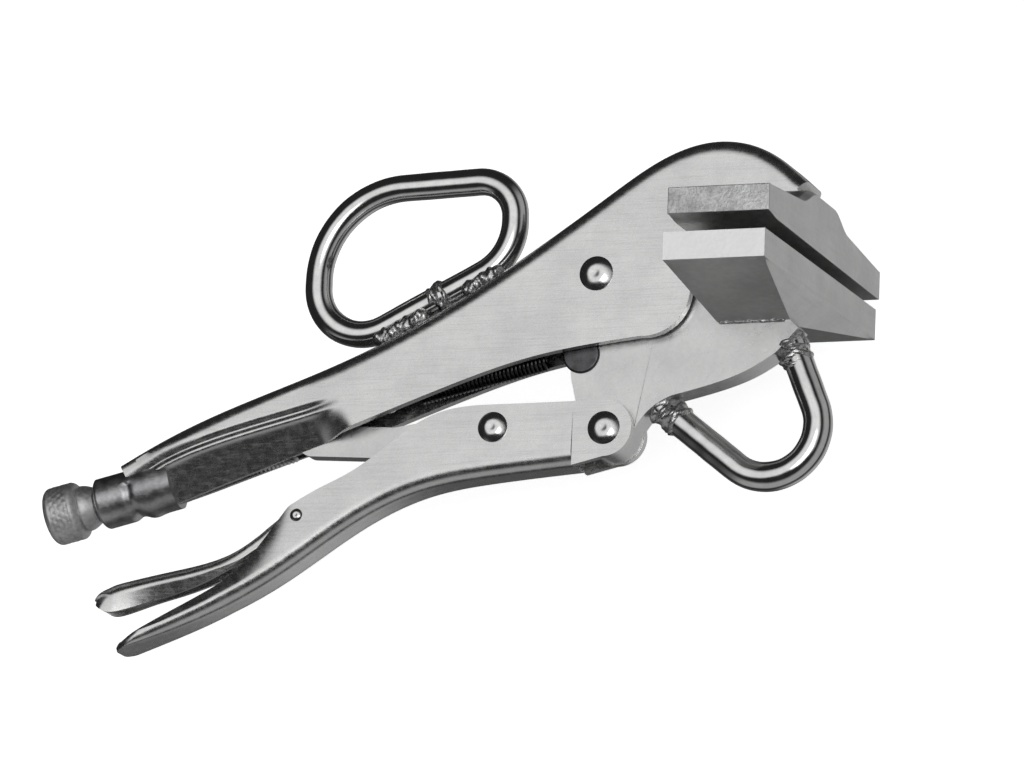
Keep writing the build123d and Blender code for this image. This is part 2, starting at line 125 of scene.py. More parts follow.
# Where the upper back is parted, and how many stations each part has, to match the parts of the edge
UPPER_MARKS = (UPPER_BACK[0][0], -88.0, 2.0, 14.0, 21.0, 28.0, 33.0, UPPER_BACK[-1][0])
UPPER_COUNTS = (120, 110, 18, 10, 10, 8, 30)
LOWER_BACK = [
    (-146.4, -106.8), (-124.2, -99.3), (-97.1, -86.1), (-70.2, -69.0), (-52.1, -61.7),
    (-33.8, -58.7), (-6.3, -56.3),
]
LOWER_EDGE_REAR = [
    (-145.4, -104.6), (-133.0, -97.6), (-121.5, -91.6), (-110.0, -84.5), (-100.0, -74.0), (-93.2, -65.6),
]
LOWER_EDGE_FRONT = [
    (-93.2, -65.6), (-84.6, -60.8), (-75.6, -56.6), (-63.5, -48.6), (-54.7, -42.4),
    (-47.2, -39.1), (-28.8, -37.4), (3.3, -37.2),
]
LEVER_BACK = [
    (-154.2, -91.2), (-152.4, -88.4), (-144.5, -85.1), (-127.0, -81.8), (-110.0, -77.2), (-97.0, -68.0),
    (-84.0, -60.5), (-72.0, -56.8),
]
LEVER_EDGE = [
    (-153.8, -92.6), (-151.0, -94.4), (-146.0, -94.2), (-138.0, -92.0), (-126.4, -88.8), (-112.0, -82.6),
    (-99.0, -75.0), (-91.0, -72.6), (-84.0, -69.0), (-72.0, -60.0),
]

# Lower jaw outline
JAW_SHOULDER, JAW_STEP, JAW_NOSE = (8.0, 7.5), (20.0, -2.0), (60.5, -17.5)
JAW_MOUTH = [(54.0, -24.5), (46.6, -28.9), (34.5, -33.3), (22.9, -36.1)]
JAW_GULLET = [JAW_MOUTH[-1], (16.8, -39.4), (11.3, -46.5)]
JAW_REAR = [(-10.8, -4.0), (-8.2, -30.0)]
JAW_COUNTS = (14, 18, 12, 12, 30, 16)

# Adjusting screw, along a line that rises towards the toggle link
SCREW_TILT = math.radians(13.5)
SCREW_BACK = np.array((-math.cos(SCREW_TILT), -math.sin(SCREW_TILT), 0.0))
SCREW_RADIUS, SCREW_PITCH, SCREW_TIP = 4.0, 1.25, 6.3
THREAD_DEPTH, THREAD_POINT = 0.62, 0.8
BARREL_RADIUS, BARREL_FLAT, BARREL_END, BARREL_LENGTH = 7.9, 6.3, 68.5, 24.0
COLLAR_START, COLLAR_RADIUS, COLLAR_LENGTH = 69.7, 6.2, 4.8
COLLAR_NARROW, COLLAR_SWELL, COLLAR_FALL_RUN = 0.9, 1.5, 0.8
KNOB_START, KNOB_RADIUS, KNOB_LENGTH = 74.5, 8.7, 10.2
KNOB_ROUND = 2.2
KNURL_LINES, KNURL_TWIST, KNURL_DEPTH = 12, 1.1, 0.16

# Marks on the barrel: place from its front, width, and how deep or high. The last two lie on its underside
BARREL_GROOVE, BARREL_HOLLOW, BARREL_HUMP = (13.0, 1.2, 0.5), (12.0, 1.6, 1.0), (8.0, 2.2, 0.6)
BARREL_UNDERSIDE, BARREL_UNDERSIDE_WIDTH = 4.75, 0.5  # in radians
BARREL_CHAMFER, BARREL_CHAMFER_RUN = 0.9, 1.2

# Rods
RING_RADIUS = 4.05
RING_CORNERS = [(-89.2, -22.2), (-28.6, 8.3), (-29.0, 31.8), (-89.2, 29.6)]
RING_BENDS = [14.5, 17.0, 11.0, 27.0]
RING_WELD_RUNS = [((-68.0, -15.4), (-56.0, -9.3)), ((-41.0, -1.4), (-33.0, 3.1))]
RING_JOINT_SHARE = 0.628  # where the ring's ends meet, on its first run
BAIL_RADIUS = 4.4
BAIL_CORNERS = [(18.5, -38.5), (46.0, -60.6), (72.7, -59.0), (57.6, -21.6)]
BAIL_BENDS = [15.0, 15.0]
BAIL_WELDS = [((19.6, -39.4), (23.2, -42.1), 5.3, 3.1), ((57.2, -21.6), (58.8, -25.4), 5.2, 5.2)]
ROD_STEP = 0.9

# Rivets: node, place, radii of the pin and the head, head's height, width over the sheets, dimple and body
RIVETS = [
    ("jaw_pivot_rivet", (0.0, 0.0), 4.0, 5.1, 1.7, UPPER_WIDTH, 0.55, "upper_body"),
    ("handle_rivet", GRIP_PIN, 3.8, 4.9, 1.7, LOWER_WIDTH, 0.55, "lower_handle_body"),
    ("link_rivet", LINK_PIN, 3.4, 4.5, 1.7, LOWER_WIDTH, 0.5, "lower_handle_body"),
    ("lever_rivet", LEVER_PIN, 1.4, 1.9, 0.8, LOWER_WIDTH, 0.25, "lower_handle_body"),
]

# Stage: the point looked at, from the pivot; the floor, in metres; the bright patch overhead
VIEW_TARGET = (-24.78, -32.38, 9.0)
FLOOR_FLAT, FLOOR_SWEEP, FLOOR_SIDES = 4, 2, 48
LAMP_STRENGTH = 2.4
STRAY_LIGHT = 0.02

UP, SIDEWAYS = np.array((0.0, 0.0, 1.0)), np.array((1.0, 0.0, 0.0))


# ---------------------------------------------------------------- curves

def natural_curve(points, count=400):
    """Cubic pieces through the points, bending evenly across each one and straight at both ends.

    Each piece is a blend of its end points and end bendings, by the distance along the chords.
    """
    spots = np.array(points, float)
    along = np.r_[0, np.cumsum(np.hypot(*np.diff(spots, axis=0).T))]
    gap = np.diff(along)
    size = len(spots)
    system = np.eye(size)
    wanted = np.zeros((size, 2))
    mid = np.arange(1, size - 1)
    system[mid, mid - 1] = gap[:-1]
    system[mid, mid] = 2 * (gap[:-1] + gap[1:])
    system[mid, mid + 1] = gap[1:]
    slope = np.diff(spots, axis=0) / gap[:, None]
    wanted[mid] = 6 * np.diff(slope, axis=0)
    bending = np.linalg.solve(system, wanted)
    steps = np.linspace(0, along[-1], count)
    piece = np.clip(np.searchsorted(along, steps, side="right") - 1, 0, size - 2)
    wide = gap[piece][:, None]
    after = (steps - along[piece])[:, None]
    before = wide - after
    curved = (bending[piece] * before**3 + bending[piece + 1] * after**3) / (6 * wide)
    first = (spots[piece] / wide - bending[piece] * wide / 6) * before
    second = (spots[piece + 1] / wide - bending[piece + 1] * wide / 6) * after
    return curved + first + second


def even_steps(curve, count):
    """The same curve, at an even distance from point to point."""
    along = np.r_[0, np.cumsum(np.linalg.norm(np.diff(curve, axis=0), axis=1))]
    steps = np.linspace(0, along[-1], count)
    return np.stack([np.interp(steps, along, column) for column in curve.T], axis=1)


def on_curve(curve, across):
    """The points of a curve at given places in X, for a curve whose X only rises."""
    return np.stack([across, np.interp(across, curve[:, 0], curve[:, 1])], axis=1)


def paired(back, edge, share):
    """Stations of a channel: the same share of the way in X from rear to front, on both curves."""
    front = back[-1, 0]
    return [on_curve(curve, curve[0, 0] + (front - curve[0, 0]) * share) for curve in (back, edge)]


def straight(start, stop, count):
    """Points at even steps on a straight line."""
    return np.linspace(np.array(start, float), np.array(stop, float), count)


def arc_through(start, middle, stop, count):
    """The round arc through three points, found where the perpendiculars of its chords meet."""
    a, b, c = (np.array(p, float) for p in (start, middle, stop))
    system = 2 * np.array([b - a, c - a])
    centre = np.linalg.solve(system, [b @ b - a @ a, c @ c - a @ a])
    angles = [math.atan2(*(p - centre)[::-1]) for p in (a, b, c)]
    turn = np.unwrap(angles)
    radius = np.linalg.norm(a - centre)
    swept = np.linspace(turn[0], turn[2], count)
    return centre + radius * np.stack([np.cos(swept), np.sin(swept)], axis=1)


def circle_part(centre, radius, start, stop, count):
    """Part of a circle, between two angles in degrees."""
    swept = np.radians(np.linspace(start, stop, count))
    return np.array(centre) + radius * np.stack([np.cos(swept), np.sin(swept)], axis=1)


def bent_path(corners, bends, closed):
    """Straight runs joined by round bends: each bend touches both runs at radius x tan(half its turn)."""
    spots = np.array(corners, float)
    order = range(len(spots)) if closed else range(1, len(spots) - 1)
    parts = [] if closed else [spots[:1]]
    for corner, radius in zip(order, bends):
        here = spots[corner]
        back = unit(spots[corner - 1] - here)
        ahead = unit(spots[(corner + 1) % len(spots)] - here)
        half_angle = math.acos(np.clip(back @ ahead, -1, 1)) / 2
        reach = radius / math.tan(half_angle)
        apex = here + unit(back + ahead) * (radius / math.sin(half_angle) - radius)
        parts.append(arc_through(here + back * reach, apex, here + ahead * reach, 40))
    if closed:
        parts.append(parts[0][:1])
    else:
        parts.append(spots[-1:])
    return np.concatenate(parts)


def smooth(low, high, value):
    """A soft step: 0 below low, 1 above high, and 3t^2 - 2t^3 between them."""
    t = np.clip((value - low) / (high - low), 0, 1)
    return t * t * (3 - 2 * t)


def bell(value, middle, width):
    """A bell-shaped rise: 1 at its middle, and about a third one width away."""
    return np.exp(-(((value - middle) / width) ** 2))


def corner_round(start, run, station):
    """The fall of a quarter circle: 0 in front of its start, and 1 where its run ends behind it."""
    share = np.clip((start - station) / run, 0, 1)
    return 1 - np.sqrt(1 - share**2)


def once_round(count):
    """Angles at even steps round a full turn, as a row."""
    return np.linspace(0, 2 * math.pi, count, endpoint=False)[None, :]


def unit(vectors):
    """Each row of vectors, one long."""
    return vectors / np.linalg.norm(vectors, axis=-1, keepdims=True)


# ---------------------------------------------------------------- surfaces

def at_height(flat, height):
    """Outline points as places in the tool's frame, in metres, at a height from the middle."""
    height = np.broadcast_to(height, flat.shape[:-1])
    return np.concatenate([flat, height[..., None]], axis=-1) * MM + PIVOT


def spot(place, height=0.0):
    """One outline point as a place in the tool's frame."""
    return at_height(np.array([place], float), height)[0]


def quads(rows, columns, wrap_rows=False, wrap_columns=False):
    """Corner numbers of the four-sided faces of a grid, joined round where it wraps."""
    i = np.arange(rows if wrap_rows else rows - 1)
    j = np.arange(columns if wrap_columns else columns - 1)
    i, j = np.meshgrid(i, j, indexing="ij")
    nexti, nextj = (i + 1) % rows, (j + 1) % columns
    corners = [i * columns + j, nexti * columns + j, nexti * columns + nextj, i * columns + nextj]
    return np.stack([c.ravel() for c in corners], axis=1).tolist()


def skin(rings, loop=False):
    """A closed skin over rings of points: rows run along the path, columns run round the profile."""
    rows, columns = rings.shape[:2]
    faces = quads(rows, columns, wrap_rows=loop, wrap_columns=True)
    if not loop:
        faces.append(list(range(columns)))
        faces.append(list(range((rows - 1) * columns, rows * columns))[::-1])
    return rings.reshape(-1, 3), faces


def shell(outer, inner):
    """A closed wall between two grids of the same shape, joined all round their borders."""
    rows, columns = outer.shape[:2]
    count = rows * columns
    faces = np.array(quads(rows, columns))
    index = np.arange(count).reshape(rows, columns)
    border = np.concatenate([index[0, :-1], index[:-1, -1], index[-1, :0:-1], index[:0:-1, 0]])
    following = np.roll(border, -1)
    sides = np.stack([border, following, following + count, border + count], axis=1)
    every = np.concatenate([faces, faces[:, ::-1] + count, sides])
    return np.concatenate([outer.reshape(-1, 3), inner.reshape(-1, 3)]), every.tolist()


def plate(upper, lower, half, rows=14, foot=None):
    """A flat plate ruled between two edges: each point is a share of the way from lower to upper."""
    moved = np.abs(np.diff(upper, axis=0)).sum(axis=1) + np.abs(np.diff(lower, axis=0)).sum(axis=1)
    keep = np.r_[True, moved > 1e-6]
    upper, lower = upper[keep], lower[keep]
    share = np.linspace(0, 1, rows)[None, :, None]
    flat = lower[:, None, :] * (1 - share) + upper[:, None, :] * share
    return shell(at_height(flat, half), at_height(flat, -half if foot is None else foot))


def channel(back, edge, width, sheet, bend, press=None, rows=26):
    """A pressed channel: a flat back, two round bends and two walls that end at the edge curve.

    At each station the bend is a quarter circle beside the back curve, and the wall is ruled from
    the foot of the bend to the edge. The inner face is the same profile, a sheet's thickness inside.
    press(depth, station) says how far the walls are pushed in; there the sheet is only as thick as
    PRESSED_SHEET.
    """
    heading = unit(np.gradient(back, axis=0))
    inward = np.stack([-heading[:, 1], heading[:, 0]], axis=1)
    inward *= np.sign(np.sum((edge - back) * inward, axis=1).mean())
    deep = np.maximum(np.sum((edge - back) * inward, axis=1), 0.2)[:, None]
    bend = np.minimum(np.broadcast_to(np.asarray(bend, float), len(back))[:, None], 0.6 * deep)
    faces = []
    for gap in (0.0, sheet):
        radius = np.maximum(bend - gap, 0.4)
        start = np.arcsin(np.clip(1 - (deep - gap) / radius, 0, 1))
        turn = start + (math.pi / 2 - start) * np.linspace(0, 1, 9)[None, :]
        depth = np.minimum(gap + radius * (1 - np.sin(turn)), deep)
        rise = np.maximum(width / 2 - gap - radius * (1 - np.cos(turn)), 0.3)
        bend_flat = back[:, None] + inward[:, None] * depth[..., None]
        share = np.linspace(0, 1, rows)[None, :-1, None]
        wall_flat = edge[:, None] * (1 - share) + bend_flat[:, :1] * share
        half_flat = np.concatenate([wall_flat, bend_flat], axis=1)
        half_rise = np.concatenate([np.repeat(rise[:, :1], rows - 1, axis=1), rise], axis=1)
        if press is not None:
            reach = np.sum((half_flat - back[:, None]) * inward[:, None], axis=2)
            outside = width / 2 - press(reach, back[:, :1])
            lip = outside - (PRESSED_SHEET if gap else 0.0)
            half_rise = np.maximum(np.minimum(half_rise, lip), 0.3)
        middle = np.linspace(1, -1, 5)[None, 1:-1] * half_rise[:, -1:]
        middle_flat = np.repeat(half_flat[:, -1:], 3, axis=1)
        flat = np.concatenate([half_flat, middle_flat, half_flat[:, ::-1]], axis=1)
        height = np.concatenate([half_rise, middle, -half_rise[:, ::-1]], axis=1)
        faces.append(at_height(flat, height))
    return shell(*faces)


def tube(path, radius, side, lift, loop=False, around=28):
    """Rings round a path: centre + radius x (cos a x side + sin a x lift). The path is in metres."""
    angle = once_round(around)[..., None]
    radius = np.broadcast_to(radius, (len(path), around))[..., None] * MM
    side, lift = np.broadcast_to(side, path.shape), np.broadcast_to(lift, path.shape)
    ring = np.cos(angle) * side[:, None] + np.sin(angle) * lift[:, None]
    return skin(path[:, None] + radius * ring, loop)


def turned(along, radius, origin, axis, side, around=64):
    """A turned shape: rings of each radius, at each distance along an axis, square to it."""
    along = np.asarray(along, float)
    path = np.asarray(origin) + along[:, None] * MM * np.asarray(axis)
    return tube(path, radius, side, np.cross(axis, side), around=around)


def upright(place, along, radius, around=64):
    """A turned shape whose axis stands at an outline point, from the middle of the tool."""
    return turned(along, radius, spot(place), UP, SIDEWAYS, around)


def rod(corners, bends, radius, closed):
    """A round rod along a bent path, its radius waved by a few hundredths as bending leaves it."""
    path = bent_path(corners, bends, closed)
    length = np.linalg.norm(np.diff(path, axis=0), axis=1).sum()
    path = even_steps(path, int(length / ROD_STEP))
    if closed:
        path = path[:-1]
        heading = np.roll(path, -1, axis=0) - np.roll(path, 1, axis=0)
    else:
        heading = np.gradient(path, axis=0)
    heading = unit(heading)
    side = np.stack([-heading[:, 1], heading[:, 0], np.zeros(len(path))], axis=1)
    phase = np.linspace(0, 2 * math.pi, len(path), endpoint=False)[:, None]
    waved = radius - 0.05 + 0.03 * np.sin(5 * phase) + 0.02 * np.cos(13 * phase)
    return tube(at_height(path, 0.0), waved, side, UP, loop=closed)


def weld_bead(start, finish, radius, height, seed):
    """A lumpy bead: a capsule whose radius swells at each pass of the arc and wanders round it."""
    first, last = spot(start, height), spot(finish, height)
    length = np.linalg.norm(last - first) / MM
    axis = unit(last - first)
    side = unit(np.cross(axis, UP))
    along = np.linspace(-radius, length + radius, 64)
    past = np.maximum(np.maximum(-along, along - length), 0) / radius
    full = radius * np.sqrt(np.maximum(1 - past**2, 0.0004))[:, None]
    angle = once_round(40)
    run = along[:, None]
    passes = 0.09 * np.abs(np.sin(run * 1.35 + 0.5 * np.cos(angle) + seed))
    lumps = 0.06 * np.sin(3 * angle + run * 0.9 + seed) + 0.05 * np.sin(2 * angle - run * 1.7 + 2 * seed)
    lumps += 0.03 * np.sin(7 * angle + 2.3 * run - seed)
    return turned(along, full * (0.86 + passes + lumps), first, axis, side, around=40)


def rivet_shape(place, pin_radius, head_radius, head_height, grip, dimple):
    """A rivet: its heads fall with the square of the share of their radius, round a dimple."""
    share = np.array([0.01, 0.1, 0.2, 0.3, 0.4, 0.5, 0.6, 0.7, 0.8, 0.88, 0.94, 0.98, 1.0])
    crown = head_height * (1 - 0.86 * share**2)
    crown -= dimple * bell(share, 0, 0.3)
    rise = np.r_[crown, 0.0, -0.3]
    radius = np.r_[share * head_radius, head_radius, pin_radius]
    along = np.r_[-grip / 2 - rise, grip / 2 + rise[::-1]]
    radius = np.r_[radius, radius[::-1]][:, None]
    return upright(place, along, radius, around=72)


def together(*shapes):
    """Several shapes as one list of corners and faces."""
    corners, faces, first = [], [], 0
    for points, sides in shapes:
        corners.append(points)
        faces += [[number + first for number in side] for side in sides]
        first += len(points)
    return np.concatenate(corners), faces


def make_piece(name, shape, body, finish, nodes=(), round_edges=0.0, sharp=40.0):
    """One object from corners and faces: closed, outward, smooth, on its body and with its finish."""
    points, faces = shape
    mesh = bpy.data.meshes.new(name)
    mesh.from_pydata(points.tolist(), [], faces)
    built = bmesh.new()
    built.from_mesh(mesh)
    bmesh.ops.remove_doubles(built, verts=built.verts, dist=2e-6)
    bmesh.ops.dissolve_degenerate(built, edges=built.edges, dist=1e-6)
    bmesh.ops.recalc_face_normals(built, faces=built.faces)
    built.to_mesh(mesh)
    built.free()
    mesh.polygons.foreach_set("use_smooth", np.ones(len(mesh.polygons), bool))
    piece = bpy.data.objects.new(name, mesh)
    bpy.context.scene.collection.objects.link(piece)
    mesh.materials.append(finish_named(finish))
    if round_edges:
        bevel = piece.modifiers.new("rounded edges", "BEVEL")
        bevel.width = round_edges * MM
        bevel.segments = 3
        bevel.limit_method = "ANGLE"
        bevel.angle_limit = math.radians(sharp)
        bevel.harden_normals = True
    else:
        mesh.set_sharp_from_angle(angle=math.radians(sharp))
    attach(piece, body)
    if nodes:
        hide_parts(*nodes)
    return piece


# ---------------------------------------------------------------- finishes

class Wire:
    """One socket of a node tree, with the arithmetic that a pattern needs."""

    def __init__(self, tree, socket):
        self.tree = tree
        self.socket = socket

    def put(self, kind, settings, sockets, output=0):
        """Adds any node: its type, its settings, and the values or links of its sockets."""
        node = self.tree.nodes.new(kind)
        for key, value in settings.items():
            setattr(node, key, value)
        for key, value in sockets.items():
            if isinstance(value, Wire):
                self.tree.links.new(value.socket, node.inputs[key])
            else:
                node.inputs[key].default_value = value
        return Wire(self.tree, node.outputs[output])

    def arithmetic(self, operation, *values):
        """Adds one Math node."""
        return self.put("ShaderNodeMath", {"operation": operation}, dict(enumerate(values)))

    def __add__(self, other):
        return self.arithmetic("ADD", self, other)

    __radd__ = __add__

    def __sub__(self, other):
        return self.arithmetic("SUBTRACT", self, other)

    def __rsub__(self, other):
        return self.arithmetic("SUBTRACT", other, self)

    def __mul__(self, other):
        return self.arithmetic("MULTIPLY", self, other)

    __rmul__ = __mul__

    def step(self, low, high):
        """A soft step from 0 at low to 1 at high."""
        settings = {"interpolation_type": "SMOOTHSTEP"}
        return self.put("ShaderNodeMapRange", settings, {"Value": self, "From Min": low, "From Max": high})

    def noise(self, scale, detail, rough, stretch=None):
        """Cloudy noise on this wire's coordinates, about 1/scale metres to a cloud."""
        place = self
        if stretch is not None:
            sockets = {"Vector": self, "Scale": stretch[0], "Rotation": stretch[1]}
            place = self.put("ShaderNodeMapping", {}, sockets)
        sockets = {"Vector": place, "Scale": scale, "Detail": detail, "Roughness": rough}
        return self.put("ShaderNodeTexNoise", {}, sockets)

    def mix_to(self, first, second):
        """A colour between two, by this wire."""
        sockets = {0: self, 6: (*first, 1.0), 7: (*second, 1.0)}
        return self.put("ShaderNodeMix", {"data_type": "RGBA"}, sockets, output=2)


def new_finish(name):
    """An empty material: its shader and its object coordinates."""
    material = bpy.data.materials.new(name)
    material.use_nodes = True
    tree = material.node_tree
    shader = tree.nodes["Principled BSDF"]
    shader.inputs["Metallic"].default_value = 1.0
    coordinates = tree.nodes.new("ShaderNodeTexCoord")
    return material, tree, shader, Wire(tree, coordinates.outputs["Object"])


def plated(name, dark, light, rough, spread, peel, fine, cloud=70.0, brush=None):
    """Bright plating over pressed steel: cloudy tone, blotchy gloss, a faint peel and drawn lines."""
    material, tree, shader, place = new_finish(name)
    broad = place.noise(cloud, 4.0, 0.55)
    blotch = place.noise(cloud * 6, 3.0, 0.6)
    grain = place.noise(2600.0, 2.0, 0.6)
    tone = (broad * 0.5 + blotch * 0.5).step(0.3, 0.72)
    colour = tone.mix_to(dark, light)
    gloss = rough + spread * (blotch.step(0.3, 0.75) * 0.6 + grain.step(0.35, 0.7) * 0.4)
    height = blotch * peel + grain * fine
    if brush is not None:
        lines = place.noise(1800.0, 2.0, 0.5, stretch=brush)
        height = height + lines * (fine * 1.5)
        gloss = gloss + (lines.step(0.4, 0.8) * 0.08)
    bump = place.put("ShaderNodeBump", {}, {"Height": height, "Strength": 0.5, "Distance": 0.0006})
    tree.links.new(colour.socket, shader.inputs["Base Color"])
    tree.links.new(gloss.socket, shader.inputs["Roughness"])
    tree.links.new(bump.socket, shader.inputs["Normal"])
    return material


# Brushed lines: how far the noise is stretched, and how it is turned
ALONG_UPPER = ((0.04, 1.0, 1.0), (0, 0, -0.52))
LENGTHWISE = ((1.0, 1.0, 0.03), (0, 0, 0))

# Finishes: dark and light colour (or None, for the settings' own), roughness above the setting's,
# spread of the roughness, height of the peel and of the grain, then size of the clouds and brushed lines
FINISHES = {
    "pressed_plate": (None, None, -0.02, 0.12, 0.07, 0.02, 70.0, ALONG_UPPER),
    "jaw_plate": (None, None, 0.04, 0.14, 0.12, 0.03, 90.0),
    "bar_side": (None, None, 0.08, 0.12, 0.05, 0.03, 70.0, LENGTHWISE),
    "bar_end": ((0.42, 0.42, 0.43), (0.92, 0.92, 0.92), 0.1, 0.2, 0.45, 0.12, 200.0),
    "bar_end_ground": ((0.94, 0.94, 0.94), (1.0, 1.0, 1.0), 0.06, 0.12, 0.15, 0.05, 160.0),
    "rod_plate": (None, None, -0.12, 0.06, 0.03, 0.01),
    "weld_plate": ((0.3, 0.3, 0.31), None, -0.04, 0.2, 0.5, 0.15, 200.0),
    "rivet_plate": (None, None, -0.1, 0.08, 0.05, 0.02, 200.0),
    "screw_plate": ((0.34, 0.34, 0.35), (0.66, 0.66, 0.67), 0.06, 0.2, 0.3, 0.08),
    "knob_plate": ((0.6, 0.6, 0.61), (0.95, 0.95, 0.95), 0.26, 0.2, 0.4, 0.12, 160.0),
    # Near-black: the spring's own dark steel, and painted shade on the spring lobe, which lies in the upper
    # handle's shadow
    "spring_steel_and_painted_shade": ((0.06, 0.06, 0.06), (0.16, 0.16, 0.17), 0.0, 0.15, 0.1, 0.03),
}


def finish_named(name):
    """The finish of that name, made the first time it is asked for."""
    found = bpy.data.materials.get(name)
    if found is not None:
        return found
    looks = bpy.context.scene.pliers_looks
    bright, dull = tuple(looks.bright), tuple(looks.dull)
    rough = looks.roughness
    dark, light, rougher, *rest = FINISHES[name]
    return plated(name, dark or dull, light or bright, rough + rougher, *rest)


# ---------------------------------------------------------------- operators

class PliersLooks(bpy.types.PropertyGroup):
    """Colours, gloss and small edge sizes of the tool."""

    bright: bpy.props.FloatVectorProperty(
        name="Bright plating", description="Colour of the cleanest plating", subtype="COLOR",
        size=3, min=0.0, max=1.0, default=(0.84, 0.84, 0.83),
    )
    dull: bpy.props.FloatVectorProperty(
        name="Dull plating", description="Colour of the plating in its cloudy patches", subtype="COLOR",
        size=3, min=0.0, max=1.0, default=(0.68, 0.68, 0.68),
    )
    roughness: bpy.props.FloatProperty(
        name="Roughness", description="Roughness of the smoothest pressed plate", min=0.0, max=1.0,
        default=0.22,
    )
    sheet_edge: bpy.props.FloatProperty(
        name="Sheet edge", description="Rounding of the sheared sheet edges, in millimetres", default=0.35,
    )
    bar_edge: bpy.props.FloatProperty(
        name="Bar edge", description="Rounding of the clamping bars' edges, in millimetres", default=0.8,
    )


class PliersStage(bpy.types.PropertyGroup):
    """Camera, floor and light."""

    tilt: bpy.props.FloatProperty(
        name="Tilt", description="Angle of the view from straight above", subtype="ANGLE", unit="ROTATION",
        default=math.radians(23.0),
    )
    heading: bpy.props.FloatProperty(
        name="Heading", description="Direction in which the view leans over", subtype="ANGLE",
        unit="ROTATION", default=math.radians(-33.99),
    )
    distance: bpy.props.FloatProperty(
        name="Distance", description="From the camera to the tool", subtype="DISTANCE", unit="LENGTH",
        default=3.0,
    )
    lens: bpy.props.FloatProperty(name="Lens", description="Focal length in millimetres", default=363.0)
    sky: bpy.props.FloatProperty(name="Sky", description="Strength of the soft light overhead", default=0.84)
    fill: bpy.props.FloatProperty(
        name="Fill", description="Strength of the light from round about, on all sides but one", default=0.34,
    )
    floor_glow: bpy.props.FloatProperty(
        name="Floor glow", description="Light that the floor sheet gives by itself", default=0.85,
    )


class PliersOperator:
    """What every operator of the tool shares: its options, the check for a frame, and its run."""

    bl_options = {"REGISTER", "UNDO"}

    @classmethod
    def poll(cls, context):
        return bool(frame["nodes"])

    def execute(self, context):
        self.build(context.scene)
        return {"FINISHED"}


class PLIERS_OT_upper_handle(PliersOperator, bpy.types.Operator):
    """Make the upper handle, with its crimped rear and threaded barrel"""

    bl_idname = "pliers.upper_handle"
    bl_label = "Upper handle"

    def build(self, scene):
        looks = scene.pliers_looks
        curve = natural_curve(UPPER_BACK)
        spans = zip(UPPER_MARKS, UPPER_MARKS[1:], UPPER_COUNTS)
        back = [on_curve(curve, np.linspace(start, stop, count)) for start, stop, count in spans]
        edge = [
            straight(UPPER_REAR, UPPER_EDGE[-1], UPPER_COUNTS[0]),
            even_steps(natural_curve(UPPER_EDGE)[::-1], UPPER_COUNTS[1]),
            arc_through(UPPER_EDGE[0], UPPER_CHEEK, UPPER_HEEL, UPPER_COUNTS[2]),
            straight(UPPER_HEEL, UPPER_THROAT, UPPER_COUNTS[3]),
            straight(UPPER_THROAT, UPPER_NOTCH, UPPER_COUNTS[4]),
            straight(UPPER_NOTCH, UPPER_CORNER, UPPER_COUNTS[5]),
            straight(UPPER_CORNER, (BAR_FRONT - 1.0, UPPER_BAR_TOP), UPPER_COUNTS[6]),
        ]
        back, edge = np.concatenate(back), np.concatenate(edge)
        keep = np.r_[True, np.linalg.norm(np.diff(edge, axis=0), axis=1) > 1e-6]
        back, edge = back[keep], edge[keep]

        def press(depth, station):
            """How far the wall is pressed in: a step, a ridge below it, and a lip that leans under.

            Behind REAR_CLOSES the whole wall also closes in onto the barrel.
            """
            pressed = smooth(CRIMP_START + 2, CRIMP_START - CRIMP_RAMP, station)
            line = np.interp(station, (CRIMP_REAR, CRIMP_START), (CRIMP_LINE_REAR, CRIMP_LINE_START))
            step_in = CRIMP_STEP * smooth(line - 0.4, line + 1.8, depth)
            ridge = CRIMP_RIDGE * bell(depth - line, 3.0, 1.1)
            lean = np.minimum(CRIMP_LEAN * np.maximum(depth - line - 3.6, 0), CRIMP_LEAN_LIMIT)
            closed = REAR_CLOSING * smooth(REAR_CLOSES, UPPER_BACK[0][0], station)
            return closed + pressed * (0.35 + step_in - ridge + lean)

        bend = UPPER_BEND + 1.2 * smooth(CRIMP_START, -128.0, back[:, 0])
        shape = channel(back, edge, UPPER_WIDTH, UPPER_SHEET, bend, press, rows=46)
        make_piece("upper_handle_pressing", shape, "upper_body", "pressed_plate",
                   ["upper_handle"], looks.sheet_edge)

        run, angle = np.linspace(0, BARREL_LENGTH, 90)[:, None], once_round(96)
        flat = BARREL_FLAT / np.maximum(np.sin(angle), 1e-3)
        radius = np.where(np.sin(angle) > 0, np.minimum(BARREL_RADIUS, flat), BARREL_RADIUS)
        marks = (BARREL_GROOVE, BARREL_HOLLOW, BARREL_HUMP)
        groove, hollow, hump = (size * bell(run, place, width) for place, width, size in marks)
        underside = bell(angle, BARREL_UNDERSIDE, BARREL_UNDERSIDE_WIDTH)
        radius = radius - groove * (np.sin(angle) < 0.2) + (hump - hollow) * underside
        radius = radius - BARREL_CHAMFER * np.clip(1 - (BARREL_LENGTH - run) / BARREL_CHAMFER_RUN, 0, 1) ** 2
        along = BARREL_END - BARREL_LENGTH + run[:, 0]
        barrel = turned(along, radius, spot(LINK_END), SCREW_BACK, UP, around=96)
        make_piece("threaded_barrel", barrel, "upper_body", "screw_plate")

        lug_top = straight(SPRING_ANCHOR + (-3.0, 15.0), SPRING_ANCHOR + (3.0, 15.0), 12)
        lug_foot = circle_part(SPRING_ANCHOR, 3.0, 180, 360, 12)
        lug = plate(lug_top, lug_foot, 1.2)
        make_piece("spring_lug", lug, "upper_body", "pressed_plate", round_edges=0.25)


